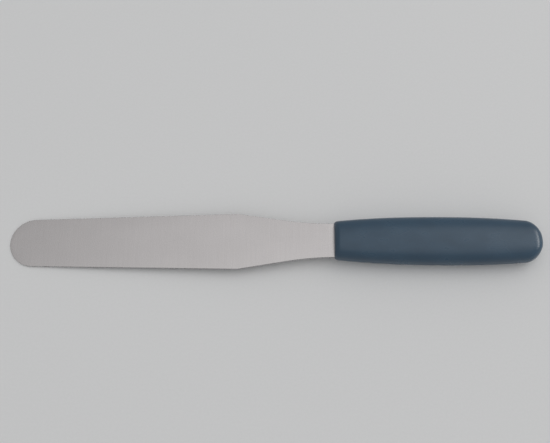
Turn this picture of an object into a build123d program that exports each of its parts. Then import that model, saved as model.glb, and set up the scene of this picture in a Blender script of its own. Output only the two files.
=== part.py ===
"""A flexible putty knife: a long round-ended spring blade with a moulded handle.

It lies as it is put down: the handle flat on its belly, the blade sloping down until its tip touches.
Working frame: x = 0 at the front of the handle, +X towards the butt, z = 0 on the handle's axis.
"""
from build123d import *
from math import acos, atan2, cos, hypot, pi, radians, sin, sqrt
import os

# Blade, seen from above
BLADE_LENGTH = 200.0        # front of the handle to the tip
BLADE_WIDTH = 35.4          # across the shoulders, the widest place
SHOULDER_AT = 59.0          # front of the handle to the shoulders
SHOULDER_ROUND = 14.0       # radius that softens each shoulder
TIP_RADIUS = 15.0
NECK_WIDTH = 21.4           # where the blade enters the handle
NECK_FLARE = 9.0            # degrees between the knife's axis and the sides behind the shoulders

# Blade, seen from the side
STOCK = 1.2                 # thickness of the sheet in the tang and at the neck
TIP_THICKNESS = 0.6         # what the grinding leaves at the tip
BEND_AT = 3.0               # the sheet leaves the handle level for this far, then slopes down
EDGE_BEVEL = 1.2            # width of the ground band along the blade's edge
EDGE_BEVEL_DEPTH = 0.03     # what that band takes off each face at the very edge

# Tang, the blade's tail inside the handle
TANG_LENGTH = 92.0
TANG_FULL_WIDTH_TO = 4.0    # the neck keeps its width for this far inside the handle
TANG_STEP_TO = 8.0          # by here it has stepped in to the tang's own width
TANG_WIDTH = 13.0
TANG_END_WIDTH = 10.0
TANG_CORNER = 3.0
LOCK_HOLES_AT = (22.0, 48.0, 74.0)
LOCK_HOLE_RADIUS = 2.5

# Handle
HANDLE_LENGTH = 127.5
HANDLE_WIDTH = 30.0         # at the swell
HANDLE_FRONT_WIDTH = 23.6
HANDLE_REAR_WIDTH = 26.2    # where the rounded butt starts
HANDLE_THICKNESS = 18.0     # at the swell
HANDLE_FRONT_THICKNESS = 15.0
HANDLE_REAR_THICKNESS = 16.8
SWELL_AT = 71.0             # front of the handle to its widest and thickest place
BUTT_LENGTH = 10.4          # length of the rounded butt
SWELL_POWER = 2.5           # how quickly the front half reaches the swell
BUTT_PLAN_POWER = 2.0       # 2 is an ellipse; more is squarer
BUTT_SIDE_POWER = 2.6
SECTION_FULLNESS = 0.72     # of the handle's oval section: 0.55 is an ellipse, 1 a rounded box
FRONT_ROLL_SIDES = 1.6      # radius of the front edge at the handle's sides
FRONT_ROLL_CROWN = 3.4      # and on its top and underside
FRONT_STEPS = 6             # sections through the rolled front edge
BODY_STATIONS = (FRONT_ROLL_CROWN, 10.0, 24.0, 44.0, SWELL_AT, 90.0, 105.0)
BUTT_STEPS = 7              # sections through the rounded butt
BUTT_FLAT = 0.985           # the last section, as a share of the butt's length

# First moulding inside the handle
CORE_START = 5.0
CORE_END = 108.0
CORE_SIDE_WALL = 5.6        # grip material at each side of the core
CORE_FACE_WALL = 4.4        # grip material above and below it
CORE_STATIONS = (CORE_START, 24.0, 44.0, SWELL_AT, 92.0, CORE_END)
RIB_STATIONS = (32.0, 56.0, 80.0, 100.0)
RIB_LENGTH = 3.0
RIB_HEIGHT = 1.2

MOULDING_GAP = 0.03         # between the tang and the plastic round it

TIP_DROP = HANDLE_THICKNESS / 2 - TIP_THICKNESS / 2


def blade_plan():
    """Flared neck, shoulders, slow taper and round tip, as a face on the XY plane."""
    neck_half = NECK_WIDTH / 2
    shoulder = (-SHOULDER_AT, BLADE_WIDTH / 2)
    flare = radians(NECK_FLARE)
    rise = shoulder[1] - neck_half
    straight_rise = SHOULDER_AT * sin(flare) / cos(flare)
    flare_radius = (straight_rise - rise) / (sin(flare) ** 2 / cos(flare) - (1 - cos(flare)))
    neck_arc = JernArc((0, neck_half), (-1, 0), flare_radius, -NECK_FLARE)

    tip_centre = -(BLADE_LENGTH - TIP_RADIUS)
    across = shoulder[1]
    along = shoulder[0] - tip_centre
    tangent_angle = atan2(across, along) + acos(TIP_RADIUS / hypot(along, across))
    touch = (tip_centre + TIP_RADIUS * cos(tangent_angle), TIP_RADIUS * sin(tangent_angle))

    flank = Line(neck_arc @ 1, shoulder)
    taper = Line(shoulder, touch)
    side = [neck_arc, flank, taper]
    other_side = [mirror(edge, Plane.XZ) for edge in side]
    tip = ThreePointArc(touch, (-BLADE_LENGTH, 0), (touch[0], -touch[1]))
    mouth = Line((0, -neck_half), (0, neck_half))
    face = make_face(side + [tip] + other_side + [mouth])
    corners = [v for v in face.vertices() if abs(v.X - shoulder[0]) < 1e-3]
    return fillet(corners, SHOULDER_ROUND)


def tang_plan(grow=0.0):
    """The tail inside the handle with its locking holes, as a face, grown by a clearance."""
    full = NECK_WIDTH / 2 + grow
    root = TANG_WIDTH / 2 + grow
    end = TANG_END_WIDTH / 2 + grow
    length = TANG_LENGTH + grow
    outline = Polyline(
        (-grow, full),
        (TANG_FULL_WIDTH_TO + grow, full),
        (TANG_STEP_TO + grow, root),
        (length, end),
        (length, -end),
        (TANG_STEP_TO + grow, -root),
        (TANG_FULL_WIDTH_TO + grow, -full),
        (-grow, -full),
        close=True,
    )
    face = make_face(outline)
    ends = [v for v in face.vertices() if v.X > length - 1e-3]
    face = fillet(ends, TANG_CORNER)
    for at in LOCK_HOLES_AT:
        face -= Pos(at, 0) * Circle(LOCK_HOLE_RADIUS - grow)
    return face


def sheet_side_view():
    """The sheet seen from the side: level tang, a slight bend, then the taper-ground blade."""
    half = STOCK / 2
    tip_half = TIP_THICKNESS / 2
    outline = Polyline(
        (TANG_LENGTH, half),
        (-BEND_AT, half),
        (-BLADE_LENGTH, tip_half - TIP_DROP),
        (-BLADE_LENGTH, -tip_half - TIP_DROP),
        (-BEND_AT, -half),
        (TANG_LENGTH, -half),
        close=True,
    )
    return make_face(Plane.XZ * outline)


def blade():
    """One sheet: the ground blade and its tang."""
    plan = blade_plan() + tang_plan()
    outline = extrude(plan, HANDLE_THICKNESS, both=True)
    sheet = extrude(sheet_side_view(), BLADE_WIDTH, both=True)
    solid = sheet & outline
    for upward in (1, -1):
        ground = [f for f in solid.faces() if f.normal_at().Z * upward > 0.9 and f.center().X < -BEND_AT]
        face = max(ground, key=lambda f: f.area)
        rim = [e for e in face.edges() if e.center().X < -BEND_AT - 1]
        solid = chamfer(rim, EDGE_BEVEL, EDGE_BEVEL_DEPTH, reference=face)
    return solid


def power_round(share, power):
    """Height of a unit quarter-round at a share of its length. Power 2 is a circle."""
    return (1 - share**power) ** (1 / power)


def swelling(x, front, middle, rear):
    """A handle measure that rises from the front to the swell and eases off towards the rear."""
    if x < SWELL_AT:
        return middle - (middle - front) * (1 - x / SWELL_AT) ** SWELL_POWER
    back = (x - SWELL_AT) / (HANDLE_LENGTH - BUTT_LENGTH - SWELL_AT)
    return middle - (middle - rear) * back**2


def drawn_in(x, radius):
    """How far a rolled front edge of this radius draws the surface in at x."""
    to_go = max(radius - x, 0)
    return radius - sqrt(radius**2 - to_go**2)


def handle_half_sizes(x):
    """Half width and half thickness of the handle at x, with front edge and butt rounded off."""
    half_width = swelling(x, HANDLE_FRONT_WIDTH, HANDLE_WIDTH, HANDLE_REAR_WIDTH) / 2
    half_thickness = swelling(x, HANDLE_FRONT_THICKNESS, HANDLE_THICKNESS, HANDLE_REAR_THICKNESS) / 2
    into_butt = (x - (HANDLE_LENGTH - BUTT_LENGTH)) / BUTT_LENGTH * BUTT_FLAT
    if into_butt > 0:
        half_width *= power_round(into_butt, BUTT_PLAN_POWER)
        half_thickness *= power_round(into_butt, BUTT_SIDE_POWER)
    return half_width - drawn_in(x, FRONT_ROLL_SIDES), half_thickness - drawn_in(x, FRONT_ROLL_CROWN)


def oval(x, half_width, half_thickness):
    """The squarish oval section of the handle, as a face across the knife at x."""
    quarters = []
    for to_y, to_z in ((1, 1), (-1, 1), (-1, -1), (1, -1)):
        side = (x, to_y * half_width, 0)
        side_handle = (x, to_y * half_width, to_z * half_thickness * SECTION_FULLNESS)
        crown_handle = (x, to_y * half_width * SECTION_FULLNESS, to_z * half_thickness)
        crown = (x, 0, to_z * half_thickness)
        quarters.append(Bezier(side, side_handle, crown_handle, crown))
    return make_face(quarters)


def skin(stations):
    """The handle's outside between the first and the last station."""
    return loft([oval(x, *handle_half_sizes(x)) for x in stations])


def handle_outside():
    """The whole handle as one solid: rolled front edge, body and butt."""
    front = [FRONT_ROLL_CROWN * (1 - cos(pi / 2 * n / FRONT_STEPS)) for n in range(FRONT_STEPS + 1)]
    butt_start = HANDLE_LENGTH - BUTT_LENGTH
    butt = [butt_start + BUTT_LENGTH * sin(pi / 2 * n / BUTT_STEPS) for n in range(BUTT_STEPS + 1)]
    return skin(front) + skin(list(BODY_STATIONS) + butt)


def tang_pocket():
    """The room that the tang takes inside the handle."""
    return extrude(tang_plan(MOULDING_GAP), STOCK / 2 + MOULDING_GAP, both=True)


def core_half_sizes(x):
    half_width, half_thickness = handle_half_sizes(x)
    return half_width - CORE_SIDE_WALL, half_thickness - CORE_FACE_WALL


def core_outside():
    """The first moulding before the tang's room is taken out: a bar with keying ribs."""
    solid = loft([oval(x, *core_half_sizes(x)) for x in CORE_STATIONS])
    for x in RIB_STATIONS:
        half_width, half_thickness = core_half_sizes(x)
        rib = oval(x, half_width + RIB_HEIGHT, half_thickness + RIB_HEIGHT)
        solid += extrude(rib, RIB_LENGTH, dir=(1, 0, 0))
    return solid


def handle_core():
    """First moulding, with pegs that fill the tang's holes."""
    return core_outside() - tang_pocket()


def handle_grip():
    """Outer moulding, cast round the core and the neck of the blade."""
    return handle_outside() - core_outside() - tang_pocket()


def write_parts():
    os.makedirs("parts", exist_ok=True)
    to_resting_frame = Pos((BLADE_LENGTH - HANDLE_LENGTH) / 2, 0, HANDLE_THICKNESS / 2)
    pieces = {"blade": blade(), "handle_core": handle_core(), "handle_grip": handle_grip()}
    for node, shape in pieces.items():
        export_step(to_resting_frame * shape, f"parts/{node}.step")


write_parts()
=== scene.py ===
"""Looks for the flexible putty knife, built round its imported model. Lengths are in metres."""
from math import acos, atan2, cos, hypot, pi, radians, sin, sqrt, tan

import bmesh
import bpy
from mathutils import Matrix, Vector


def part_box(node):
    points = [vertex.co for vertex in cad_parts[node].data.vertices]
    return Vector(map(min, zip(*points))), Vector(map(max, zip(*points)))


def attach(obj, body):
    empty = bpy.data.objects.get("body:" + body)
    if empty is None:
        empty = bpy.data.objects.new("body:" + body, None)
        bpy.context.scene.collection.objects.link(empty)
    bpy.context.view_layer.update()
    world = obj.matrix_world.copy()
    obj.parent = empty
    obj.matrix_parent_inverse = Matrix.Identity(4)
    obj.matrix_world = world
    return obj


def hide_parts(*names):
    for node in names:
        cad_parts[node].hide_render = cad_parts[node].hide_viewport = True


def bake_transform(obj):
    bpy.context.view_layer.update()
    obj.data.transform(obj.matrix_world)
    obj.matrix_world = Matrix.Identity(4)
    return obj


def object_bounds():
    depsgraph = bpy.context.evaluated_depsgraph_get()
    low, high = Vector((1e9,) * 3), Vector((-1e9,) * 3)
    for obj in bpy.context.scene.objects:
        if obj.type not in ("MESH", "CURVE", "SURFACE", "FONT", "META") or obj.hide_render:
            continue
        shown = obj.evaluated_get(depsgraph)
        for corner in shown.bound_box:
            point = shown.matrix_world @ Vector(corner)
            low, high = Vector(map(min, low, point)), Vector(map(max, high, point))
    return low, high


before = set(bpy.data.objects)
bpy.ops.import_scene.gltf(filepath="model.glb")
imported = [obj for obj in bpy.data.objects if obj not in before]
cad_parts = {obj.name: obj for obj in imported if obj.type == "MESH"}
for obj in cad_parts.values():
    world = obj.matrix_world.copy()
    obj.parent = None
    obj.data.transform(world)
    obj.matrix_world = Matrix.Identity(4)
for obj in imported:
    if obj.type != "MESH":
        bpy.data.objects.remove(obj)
CAD_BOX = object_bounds()

MM = 0.001

# Places that the frame gives
TIP_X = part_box("blade")[0].x
GRIP_LOW, GRIP_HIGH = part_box("handle_grip")
MOUTH_X = GRIP_LOW.x
AXIS_Z = (GRIP_LOW.z + GRIP_HIGH.z) / 2
HANDLE_LENGTH = GRIP_HIGH.x - GRIP_LOW.x
BLADE_LENGTH = MOUTH_X - TIP_X
TANG_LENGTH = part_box("blade")[1].x - MOUTH_X

# Blade, with x measured from the front of the handle towards the butt
SHOULDER_HALF = 17.7 * MM
SHOULDER_AT = 59.0 * MM
SHOULDER_ROUND = 14.0 * MM
TIP_RADIUS = 15.0 * MM
NECK_HALF = 10.7 * MM
NECK_FLARE = radians(9.0)
STOCK = 1.2 * MM
TIP_THICKNESS = 0.6 * MM
TIP_DROP = AXIS_Z - TIP_THICKNESS / 2
BEND_AT = 3.0 * MM
BEVEL_WIDTH = 1.2 * MM
BEVEL_DEPTH = 0.03 * MM
BEVEL_RUN_OUT = 9.0 * MM
EDGE_ROUND = 0.1 * MM
EDGE_PROFILE = ((1, 1), (0.3, 0.7), (0, 0))  # inset and height on the rounded edge, from its face
ACROSS_SHARES = (1, 0.5, 0, -0.5, -1)        # where the points on a face lie across the blade
BLADE_CREASE = radians(1.8)

# Tang, the blade's tail inside the handle
TANG_FULL_TO = 4.0 * MM
TANG_STEP_TO = 8.0 * MM
TANG_HALF = 6.5 * MM
TANG_END_HALF = 5.0 * MM
TANG_CORNER = 3.0 * MM
LOCK_HOLES_AT = (22.0 * MM, 48.0 * MM, 74.0 * MM)
LOCK_HOLE_RADIUS = 2.5 * MM
SLOT_GAP = 0.03 * MM

# Handle: half sizes at the front, at the swell and where the rounded butt starts
HALF_WIDTHS = (11.8 * MM, 15.0 * MM, 13.1 * MM)
HALF_THICKNESSES = (7.5 * MM, 9.0 * MM, 8.4 * MM)
SWELL_AT = 71.0 * MM
BUTT_START = HANDLE_LENGTH - 10.4 * MM
SWELL_POWER = 2.5
BUTT_PLAN_POWER = 2.0
BUTT_SIDE_POWER = 2.6
SECTION_FULLNESS = 0.72
FRONT_ROLL_SIDES = 1.6 * MM      # radius of the front edge at the handle's sides
FRONT_ROLL_CROWN = 3.4 * MM      # and on its top and underside
PARTING_HEIGHT = 0.09 * MM
PARTING_SPREAD = 0.022       # half the parting line's width, as a share of the half thickness
GRIP_CREASE = radians(4.0)

# Room for the first moulding inside the handle
CORE_START = 5.0 * MM
CORE_END = 108.0 * MM
CORE_SIDE_WALL = 5.6 * MM
CORE_FACE_WALL = 4.4 * MM
RIB_STATIONS = (32.0 * MM, 56.0 * MM, 80.0 * MM, 100.0 * MM)
RIB_LENGTH = 3.0 * MM
RIB_HEIGHT = 1.2 * MM

# Mesh fineness
ROW_STEP = 2.0 * MM
RING_STEP = 2.2 * MM
CORE_RING_STEP = 3 * RING_STEP
QUARTER_STEPS = 16
PARTING_SHARES = (0.0, 0.006, 0.014)     # points of each quarter that shape the parting line
BUTT_RINGS = 26
FRONT_RINGS = 12
TIP_STEPS = 26
NECK_STEPS = 14
CORNER_STEPS = 6
HOLE_STEPS = 40
MERGE_DISTANCE = 1e-7
FLAT_NORMAL = 0.985          # a face is flat across an axis when its normal has this much of it
SMOOTH_BELOW = radians(50)   # the crease on faces that aren't flat

# Finishes: darkest and lightest colour, and roughness at the two ends of its pattern
STEEL_COLOURS = ((0.485, 0.465, 0.466), (0.515, 0.494, 0.495))
STEEL_ROUGHNESS = (0.25, 0.29)
GRIP_COLOURS = ((0.022, 0.051, 0.085), (0.032, 0.071, 0.115))
GRIP_ROUGHNESS = (0.32, 0.26)
CORE_COLOURS = ((0.29, 0.29, 0.28), (0.36, 0.36, 0.35))
CORE_ROUGHNESS = (0.5, 0.62)
FLOOR_COLOURS = ((0.77, 0.775, 0.78), (0.81, 0.815, 0.82))
FLOOR_ROUGHNESS = 0.9
NOISE_SPAN = (0.3, 0.7)      # nearly all values of a noise lie between these
STREAK_SPAN = (0.32, 0.68)   # and of the blade's streaks
STREAK_SHARE = 0.45          # of the blade's tone; clouds make the rest
GRAIN_SHARE = 0.35           # of the handle's tone; clouds make the rest
SCRATCH_SOFTNESS = 0.05      # rise in the noise from the side of a scratch to its middle
MARK_ROUGHNESS = 0.09        # what a handling mark adds to the blade's roughness
MARK_DEPTH = 0.6             # how deep it is, beside the brushing
SCUFF_ROUGHNESS = 0.1        # what a scuff adds to the handle's roughness
SCUFF_DEPTH = 0.4            # how deep it is, beside the grain

# View
LENS = 50.0
NEAREST = 0.01               # the camera shows nothing closer than this
CAMERA_TARGET = Vector((0.00015, 0.01535, 0.0))
CAMERA_DISTANCE = 0.4806
CAMERA_ELEVATION = radians(70.5)
CAMERA_AZIMUTH = radians(-2.0)
CAMERA_ROLL = radians(2.22)

# Stage
FLOOR_REACH = 12.0
FLOOR_GAP = 0.02 * MM        # keeps the floor just clear of the handle's belly
BRIGHTEST = Vector((0.14, 0.08, 0.987))     # towards the brightest part of the room
ROOM_NEARNESS = (0.75, 0.97)                # cosine of the angle from it: dim here, and bright here
ROOM_STRENGTH = (0.49, 1.09)
ROOM_COLOUR = (0.97, 0.97, 0.97, 1.0)
LIGHT_COLOUR = (1.0, 0.99, 0.97)
SOFT_BOX = {"place": (0.8, 0.4, 0.95), "aim": (0, 0, 0), "size": (0.9, 0.9), "power": 1.6}
BUTT_LIGHT = {"place": (1.95, 0.44, 0.95), "aim": (0.16, 0, 0), "size": (1.4, 0.35), "power": 11.0}


def smoothstep(share):
    share = min(max(share, 0.0), 1.0)
    return share * share * (3 - 2 * share)


# ---------------------------------------------------------------- mesh helpers

def rings_to_object(name, rings, ends=(True, True)):
    """A skin over closed rings of equal length. An end that has shrunk to a point needs no face."""
    count = len(rings[0])
    shape = bmesh.new()
    rows = [[shape.verts.new(point) for point in ring] for ring in rings]
    for row, following in zip(rows, rows[1:]):
        for n in range(count):
            m = (n + 1) % count
            shape.faces.new((row[n], row[m], following[m], following[n]))
    for row, needs_face in zip((rows[0], rows[-1]), ends):
        if needs_face:
            shape.faces.new(row)
    bmesh.ops.remove_doubles(shape, verts=shape.verts, dist=MERGE_DISTANCE)
    bmesh.ops.dissolve_degenerate(shape, edges=shape.edges, dist=MERGE_DISTANCE)
    bmesh.ops.recalc_face_normals(shape, faces=shape.faces)
    mesh = bpy.data.meshes.new(name)
    shape.to_mesh(mesh)
    shape.free()
    piece = bpy.data.objects.new(name, mesh)
    bpy.context.scene.collection.objects.link(piece)
    return piece


def cut_away(piece, cutters):
    """Takes the cutters out of the piece for good, and deletes them."""
    for cutter in cutters:
        modifier = piece.modifiers.new("Cut", "BOOLEAN")
        modifier.operation = "DIFFERENCE"
        modifier.solver = "EXACT"
        modifier.object = cutter
    graph = bpy.context.evaluated_depsgraph_get()
    mesh = bpy.data.meshes.new_from_object(piece.evaluated_get(graph))
    piece.modifiers.clear()
    piece.data = mesh
    for cutter in cutters:
        bpy.data.objects.remove(cutter)


def shade(piece, flat_axis, crease):
    """Smooth shading, with the edge of every face that is flat across an axis kept crisp."""
    piece.data.shade_smooth()
    shape = bmesh.new()
    shape.from_mesh(piece.data)
    for edge in shape.edges:
        if len(edge.link_faces) != 2:
            continue
        one, other = (face.normal for face in edge.link_faces)
        turn = one.angle(other, 0.0)
        is_flat = max(abs(one[flat_axis]), abs(other[flat_axis])) > FLAT_NORMAL
        edge.smooth = turn < (crease if is_flat else SMOOTH_BELOW)
    shape.to_mesh(piece.data)
    shape.free()


# ---------------------------------------------------------------- blade

def arc(centre, radius, start, end, steps):
    """Points on a circle from one angle to another, both ends included."""
    angles = [start + (end - start) * n / steps for n in range(steps + 1)]
    return [(centre[0] + radius * cos(a), centre[1] + radius * sin(a)) for a in angles]


def with_short_runs(points):
    """The same line with no two points further apart than ROW_STEP."""
    line = [points[0]]
    for (x0, y0), (x1, y1) in zip(points, points[1:]):
        parts = max(1, round(hypot(x1 - x0, y1 - y0) / ROW_STEP + 0.5))
        shares = [n / parts for n in range(1, parts + 1)]
        line += [(x0 + (x1 - x0) * s, y0 + (y1 - y0) * s) for s in shares]
    return line


def shoulder_arc(corner, before, after):
    """The arc that rounds off the shoulder's corner between two directions."""
    back = SHOULDER_ROUND * tan(before.angle(after) / 2)
    start = corner - before * back
    end = corner + after * back
    centre = start + Vector((-before.y, before.x)) * SHOULDER_ROUND
    first = atan2(start.y - centre.y, start.x - centre.x)
    last = atan2(end.y - centre.y, end.x - centre.x)
    return arc(centre, SHOULDER_ROUND, first, last, CORNER_STEPS)


def sheet_outline():
    """One side of the sheet seen from above, from the tang's end to the tip."""
    rise = SHOULDER_HALF - NECK_HALF
    flare_share = sin(NECK_FLARE) ** 2 / cos(NECK_FLARE) - (1 - cos(NECK_FLARE))
    flare_radius = (SHOULDER_AT * tan(NECK_FLARE) - rise) / flare_share
    neck_centre = (0, NECK_HALF + flare_radius)
    neck = arc(neck_centre, flare_radius, -pi / 2, -pi / 2 - NECK_FLARE, NECK_STEPS)

    tip_centre = TIP_RADIUS - BLADE_LENGTH
    along = -SHOULDER_AT - tip_centre
    touch = atan2(SHOULDER_HALF, along) + acos(TIP_RADIUS / hypot(along, SHOULDER_HALF))
    tip = arc((tip_centre, 0), TIP_RADIUS, touch, pi, TIP_STEPS)

    corner = Vector((-SHOULDER_AT, SHOULDER_HALF))
    flank = (corner - Vector(neck[-1])).normalized()
    taper = (Vector(tip[0]) - corner).normalized()
    shoulder = shoulder_arc(corner, flank, taper)

    tang_centre = (TANG_LENGTH - TANG_CORNER, TANG_END_HALF - TANG_CORNER)
    tang_end = arc(tang_centre, TANG_CORNER, 0, pi / 2, CORNER_STEPS)
    tang = tang_end + [(TANG_STEP_TO, TANG_HALF), (TANG_FULL_TO, NECK_HALF)]
    return with_short_runs(tang + neck + shoulder + tip)


def outward(points):
    """Outward direction at each point of one side's outline, straight across inside the handle."""
    behind = points[:1] + points[:-1]
    ahead = points[1:] + [(points[-2][0], -points[-2][1])]
    normals = []
    for here, before, after in zip(points, behind, ahead):
        run = (Vector(after) - Vector(before)).normalized()
        normals.append(Vector((0, 1)) if here[0] > 0 else Vector((run.y, -run.x)))
    return normals


def sheet_at(x):
    """Height of the sheet's middle and half its thickness at x."""
    share = min(max((-x - BEND_AT) / (BLADE_LENGTH - BEND_AT), 0), 1)
    return AXIS_Z - TIP_DROP * share, (STOCK + (TIP_THICKNESS - STOCK) * share) / 2


def sheet_row(x, y, normal):
    """One closed row of points across the sheet, through its edge at x and y."""
    bevel = BEVEL_DEPTH * smoothstep((-x - BEND_AT) / BEVEL_RUN_OUT)
    inset_x = x - normal.x * BEVEL_WIDTH
    inset_y = max(y - normal.y * BEVEL_WIDTH, 0)
    face_mid, face_half = sheet_at(inset_x)
    across = [inset_y * share for share in ACROSS_SHARES]
    mid, half = sheet_at(x)
    edge = half - bevel
    side = []
    for inset, height in EDGE_PROFILE:
        side.append((inset * EDGE_ROUND, edge - (1 - height) * EDGE_ROUND))
    rim = side + [(inset, -height) for inset, height in reversed(side)]
    near = [(x - normal.x * i, max(y - normal.y * i, 0), mid + h) for i, h in rim]
    far = [(px, -py, pz) for px, py, pz in near]
    top = [(inset_x, py, face_mid + face_half) for py in across]
    under = [(inset_x, -py, face_mid - face_half) for py in across]
    row = near[::-1] + top + far + under
    return [(px + MOUTH_X, py, pz) for px, py, pz in row]


def lock_hole(at):
    """A cylinder to cut one of the tang's locking holes."""
    rings = []
    for z in (AXIS_Z - STOCK, AXIS_Z + STOCK):
        circle = arc((MOUTH_X + at, 0), LOCK_HOLE_RADIUS, 0, 2 * pi, HOLE_STEPS)[:-1]
        rings.append([(x, y, z) for x, y in circle])
    return rings_to_object("lock_hole", rings)


def make_blade():
    """Tang, neck and ground blade as one sheet."""
    outline = sheet_outline()
    rows = [sheet_row(x, y, normal) for (x, y), normal in zip(outline, outward(outline))]
    blade = rings_to_object("blade_sheet", rows, ends=(True, False))
    cut_away(blade, [lock_hole(at) for at in LOCK_HOLES_AT])
    shade(blade, flat_axis=2, crease=BLADE_CREASE)
    blade.data.materials.append(brushed_steel())
    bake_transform(blade)
    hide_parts("blade")


# ---------------------------------------------------------------- handle

def swelling(x, sizes):
    """A half size of the handle, rising from the front to the swell and easing off after it."""
    front, middle, rear = sizes
    if x < SWELL_AT:
        return middle - (middle - front) * (1 - x / SWELL_AT) ** SWELL_POWER
    back = (x - SWELL_AT) / (BUTT_START - SWELL_AT)
    return middle - (middle - rear) * back**2


def drawn_in(x, radius):
    """How far a rolled front edge of this radius draws the surface in at x."""
    to_go = max(radius - x, 0)
    return radius - sqrt(radius**2 - to_go**2)


def half_sizes(x):
    """Half width and half thickness of the handle at x, with front edge and butt rounded off."""
    into_butt = min(max((x - BUTT_START) / (HANDLE_LENGTH - BUTT_START), 0), 1)
    plan = (1 - into_butt**BUTT_PLAN_POWER) ** (1 / BUTT_PLAN_POWER)
    side = (1 - into_butt**BUTT_SIDE_POWER) ** (1 / BUTT_SIDE_POWER)
    half_width = swelling(x, HALF_WIDTHS) * plan - drawn_in(x, FRONT_ROLL_SIDES)
    half_thickness = swelling(x, HALF_THICKNESSES) * side - drawn_in(x, FRONT_ROLL_CROWN)
    return half_width, half_thickness


def oval_ring(x, half_width, half_thickness, parting=0.0):
    """The squarish oval section at x, with a parting line standing up at its two sides."""
    quarter = []
    for t in list(PARTING_SHARES) + [(n + 1) / QUARTER_STEPS for n in range(QUARTER_STEPS)]:
        near = (1 - t) ** 3 + 3 * (1 - t) ** 2 * t + 3 * SECTION_FULLNESS * (1 - t) * t**2
        up = 3 * SECTION_FULLNESS * (1 - t) ** 2 * t + 3 * (1 - t) * t**2 + t**3
        ridge = parting * max(0, 1 - up / PARTING_SPREAD)
        quarter.append((half_width * near + ridge, half_thickness * up))
    half = quarter + [(-y, z) for y, z in reversed(quarter[:-1])]
    whole = half + [(y, -z) for y, z in reversed(half[1:-1])]
    return [(MOUTH_X + x, y, AXIS_Z + z) for y, z in whole]


def handle_shell():
    """The handle's outside, from the rolled front edge to the butt."""
    rings = []
    for n in range(FRONT_RINGS + 1):
        x = FRONT_ROLL_CROWN * (1 - cos(pi / 2 * n / FRONT_RINGS))
        rings.append(oval_ring(x, *half_sizes(x), PARTING_HEIGHT * n / FRONT_RINGS))
    steps = round((BUTT_START - FRONT_ROLL_CROWN) / RING_STEP)
    for n in range(1, steps + 1):
        x = FRONT_ROLL_CROWN + (BUTT_START - FRONT_ROLL_CROWN) * n / steps
        rings.append(oval_ring(x, *half_sizes(x), PARTING_HEIGHT))
    for n in range(1, BUTT_RINGS + 1):
        turn = pi / 2 * n / BUTT_RINGS
        x = BUTT_START + (HANDLE_LENGTH - BUTT_START) * sin(turn)
        rings.append(oval_ring(x, *half_sizes(x), PARTING_HEIGHT * cos(turn)))
    return rings_to_object("grip_moulding", rings, ends=(True, False))


def blade_slot():
    """A block to cut the mouth that the neck of the blade goes into."""
    half_width = NECK_HALF + SLOT_GAP
    half_height = STOCK / 2 + SLOT_GAP
    corners = ((1, 1), (-1, 1), (-1, -1), (1, -1))
    rings = []
    for x in (-FRONT_ROLL_SIDES, CORE_START + SLOT_GAP):
        rings.append([(MOUTH_X + x, y * half_width, AXIS_Z + z * half_height) for y, z in corners])
    return rings_to_object("blade_slot", rings)


def core_ring(x, rib=0.0, at=None):
    """The core's section at x, grown by a rib's height, and placed at another x if one is given."""
    half_width, half_thickness = half_sizes(x)
    half_width += rib - CORE_SIDE_WALL
    half_thickness += rib - CORE_FACE_WALL
    return oval_ring(x if at is None else at, half_width, half_thickness)


def core_room():
    """The ribbed room for the first moulding."""
    rings = []
    start = CORE_START
    for rib in RIB_STATIONS + (CORE_END,):
        steps = max(1, round((rib - start) / CORE_RING_STEP))
        rings += [core_ring(start + (rib - start) * n / steps) for n in range(steps + 1)]
        if rib < CORE_END:
            start = rib + RIB_LENGTH
            rings += [core_ring(rib, RIB_HEIGHT), core_ring(rib, RIB_HEIGHT, at=start)]
    return rings_to_object("core_room", rings)


def make_grip():
    """The outer moulding, hollow for the core and open for the blade."""
    grip = handle_shell()
    cut_away(grip, [core_room(), blade_slot()])
    shade(grip, flat_axis=0, crease=GRIP_CREASE)
    grip.data.materials.append(satin_plastic())
    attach(grip, "handle")
    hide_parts("handle_grip")
    return grip


def finish_core():
    """The first moulding keeps its CAD shape and gets its own plastic."""
    plastic = plain_plastic()
    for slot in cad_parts["handle_core"].material_slots:
        slot.material = plastic


# ---------------------------------------------------------------- materials

def new_material(name):
    material = bpy.data.materials.new(name)
    material.use_nodes = True
    return material, material.node_tree, material.node_tree.nodes["Principled BSDF"]


def node(tree, kind, inputs, **settings):
    """Adds a node. An input that is a socket is linked, and any other is a value."""
    made = tree.nodes.new(kind)
    for key, value in settings.items():
        setattr(made, key, value)
    for key, value in inputs.items():
        if isinstance(value, bpy.types.NodeSocket):
            tree.links.new(value, made.inputs[key])
        else:
            made.inputs[key].default_value = value
    return made


def noise(tree, size, detail=2.0, turn=0.0):
    """Noise over the piece whose cells have this size in metres, turned about Z."""
    place = node(tree, "ShaderNodeTexCoord", {}).outputs["Object"]
    inputs = {"Vector": place, "Rotation": (0, 0, turn), "Scale": size}
    cells = node(tree, "ShaderNodeMapping", inputs, vector_type="TEXTURE")
    inputs = {"Vector": cells.outputs["Vector"], "Scale": 1.0, "Detail": detail}
    return node(tree, "ShaderNodeTexNoise", inputs).outputs["Fac"]


def remap(tree, value, before, after):
    inputs = {"Value": value, "From Min": before[0], "From Max": before[1]}
    inputs.update({"To Min": after[0], "To Max": after[1]})
    return node(tree, "ShaderNodeMapRange", inputs).outputs["Result"]


def combine(tree, operation, one, other):
    made = node(tree, "ShaderNodeMath", {0: one, 1: other}, operation=operation)
    return made.outputs["Value"]


def ramp(tree, value, low, high):
    """A colour between two, picked by value."""
    made = node(tree, "ShaderNodeValToRGB", {"Fac": value})
    made.color_ramp.elements[0].color = (*low, 1)
    made.color_ramp.elements[1].color = (*high, 1)
    return made.outputs["Color"]


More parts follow.
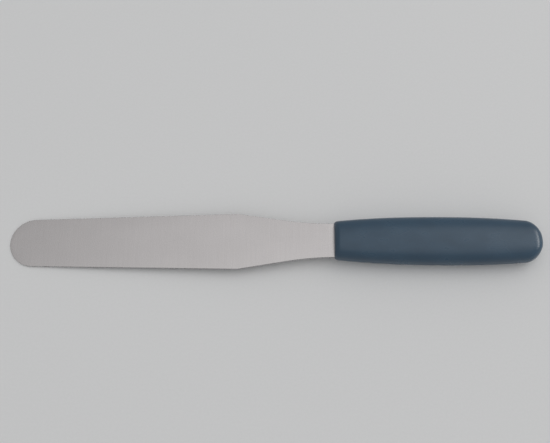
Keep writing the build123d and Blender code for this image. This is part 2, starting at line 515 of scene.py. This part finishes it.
def weighted(tree, one, share, other):
    """A share of one pattern and the rest of another."""
    part = combine(tree, "MULTIPLY", one, share)
    rest = combine(tree, "MULTIPLY", other, 1 - share)
    return combine(tree, "ADD", part, rest)


def bump(tree, shader, height, strength, distance):
    inputs = {"Height": height, "Strength": strength, "Distance": distance}
    made = node(tree, "ShaderNodeBump", inputs)
    tree.links.new(made.outputs["Normal"], shader.inputs["Normal"])


def scratches(tree, length, width, turn, rarity):
    """Sparse thin lines: 1 on a scratch and 0 off it."""
    lines = noise(tree, (length, width, length), detail=1.0, turn=turn)
    return remap(tree, lines, (rarity, rarity + SCRATCH_SOFTNESS), (0, 1))


def brushed_steel():
    """Satin spring steel, finely brushed across the blade, with faint streaks and marks."""
    material, tree, shader = new_material("brushed_steel")
    brushing = noise(tree, (0.3 * MM, 20 * MM, 1.0))
    streaks = noise(tree, (1.4 * MM, 45 * MM, 1.0), detail=3.0)
    clouds = noise(tree, (34 * MM, 20 * MM, 1.0))
    long_marks = scratches(tree, length=24 * MM, width=0.2 * MM, turn=radians(14), rarity=0.7)
    short_marks = scratches(tree, length=17 * MM, width=0.18 * MM, turn=radians(-38), rarity=0.71)
    marks = combine(tree, "MAXIMUM", long_marks, short_marks)
    tone = remap(tree, weighted(tree, streaks, STREAK_SHARE, clouds), STREAK_SPAN, (0, 1))
    tree.links.new(ramp(tree, tone, *STEEL_COLOURS), shader.inputs["Base Color"])
    fine = remap(tree, brushing, NOISE_SPAN, STEEL_ROUGHNESS)
    rough = combine(tree, "ADD", fine, combine(tree, "MULTIPLY", marks, MARK_ROUGHNESS))
    tree.links.new(rough, shader.inputs["Roughness"])
    height = combine(tree, "SUBTRACT", brushing, combine(tree, "MULTIPLY", marks, MARK_DEPTH))
    bump(tree, shader, height, strength=0.02, distance=0.02 * MM)
    shader.inputs["Metallic"].default_value = 1.0
    return material


def satin_plastic():
    """Dark slate-coloured moulded plastic with a fine satin texture, a little rubbed by use."""
    material, tree, shader = new_material("satin_plastic")
    grain = noise(tree, (0.22 * MM,) * 3)
    clouds = noise(tree, (16 * MM, 9 * MM, 9 * MM), detail=3.0)
    scuffs = scratches(tree, length=15 * MM, width=0.3 * MM, turn=radians(6), rarity=0.7)
    tone = remap(tree, weighted(tree, grain, GRAIN_SHARE, clouds), NOISE_SPAN, (0, 1))
    tree.links.new(ramp(tree, tone, *GRIP_COLOURS), shader.inputs["Base Color"])
    rubbed = remap(tree, clouds, NOISE_SPAN, GRIP_ROUGHNESS)
    rough = combine(tree, "ADD", rubbed, combine(tree, "MULTIPLY", scuffs, SCUFF_ROUGHNESS))
    tree.links.new(rough, shader.inputs["Roughness"])
    height = combine(tree, "SUBTRACT", grain, combine(tree, "MULTIPLY", scuffs, SCUFF_DEPTH))
    bump(tree, shader, height, strength=0.3, distance=0.03 * MM)
    return material


def plain_plastic():
    """Unpigmented plastic as it comes out of the mould, with faint flow clouds."""
    material, tree, shader = new_material("plain_plastic")
    grain = noise(tree, (0.4 * MM,) * 3)
    flow = noise(tree, (22 * MM, 5 * MM, 5 * MM), detail=3.0)
    tone = remap(tree, flow, NOISE_SPAN, (0, 1))
    tree.links.new(ramp(tree, tone, *CORE_COLOURS), shader.inputs["Base Color"])
    tree.links.new(remap(tree, grain, NOISE_SPAN, CORE_ROUGHNESS), shader.inputs["Roughness"])
    bump(tree, shader, grain, strength=0.2, distance=0.03 * MM)
    return material


def floor_finish():
    """Plain pale backdrop paper."""
    material, tree, shader = new_material("floor_paper")
    fibre = noise(tree, (1.5 * MM,) * 3, detail=3.0)
    tree.links.new(ramp(tree, fibre, *FLOOR_COLOURS), shader.inputs["Base Color"])
    shader.inputs["Roughness"].default_value = FLOOR_ROUGHNESS
    return material


# ---------------------------------------------------------------- stage

def make_floor():
    mesh = bpy.data.meshes.new("floor")
    height = CAD_BOX[0].z - FLOOR_GAP
    corners = ((-1, -1), (1, -1), (1, 1), (-1, 1))
    points = [(x * FLOOR_REACH, y * FLOOR_REACH, height) for x, y in corners]
    mesh.from_pydata(points, [], [(0, 1, 2, 3)])
    mesh.materials.append(floor_finish())
    floor = bpy.data.objects.new("floor", mesh)
    bpy.context.scene.collection.objects.link(floor)


def make_camera():
    """Looks down steeply, slightly turned and tilted, as the knife was seen."""
    turn, rise = CAMERA_AZIMUTH, CAMERA_ELEVATION
    back = Vector((sin(turn) * cos(rise), -cos(turn) * cos(rise), sin(rise)))
    right = Vector((0, 0, 1)).cross(back).normalized()
    facing = Matrix((right, back.cross(right), back)).transposed()
    roll = Matrix.Rotation(CAMERA_ROLL, 3, "Z")
    data = bpy.data.cameras.new("camera")
    data.lens = LENS
    data.clip_start = NEAREST
    camera = bpy.data.objects.new("camera", data)
    place = Matrix.Translation(CAMERA_TARGET + back * CAMERA_DISTANCE)
    camera.matrix_world = place @ (facing @ roll).to_4x4()
    bpy.context.scene.collection.objects.link(camera)
    bpy.context.scene.camera = camera


def area_light(name, place, aim, size, power):
    data = bpy.data.lights.new(name, "AREA")
    data.shape = "RECTANGLE"
    data.size, data.size_y = size
    data.energy = power
    data.color = LIGHT_COLOUR
    light = bpy.data.objects.new(name, data)
    light.location = place
    light.rotation_euler = (Vector(aim) - Vector(place)).to_track_quat("-Z", "Y").to_euler()
    bpy.context.scene.collection.objects.link(light)
    return light


def flag_off(light, lit_piece):
    """Keeps the light off everything but one piece, as black flags would."""
    lit = bpy.data.collections.new("lit_by_" + light.name)
    lit.objects.link(lit_piece)
    light.light_linking.receiver_collection = lit


def make_room():
    """A pale room, brightest overhead and towards the butt."""
    world = bpy.data.worlds.new("room")
    world.use_nodes = True
    tree = world.node_tree
    direction = node(tree, "ShaderNodeTexCoord", {}).outputs["Generated"]
    inputs = {0: direction, 1: BRIGHTEST}
    nearness = node(tree, "ShaderNodeVectorMath", inputs, operation="DOT_PRODUCT").outputs["Value"]
    strength = remap(tree, nearness, ROOM_NEARNESS, ROOM_STRENGTH)
    background = tree.nodes["Background"]
    background.inputs["Color"].default_value = ROOM_COLOUR
    tree.links.new(strength, background.inputs["Strength"])
    bpy.context.scene.world = world


def make_lights(grip):
    """A soft box to one side, and a low light behind the butt that picks out its edge."""
    area_light("soft_box", **SOFT_BOX)
    flag_off(area_light("butt_light", **BUTT_LIGHT), grip)
    bpy.context.scene.view_settings.view_transform = "Standard"


make_blade()
grip_moulding = make_grip()
finish_core()
make_floor()
make_camera()
make_room()
make_lights(grip_moulding)
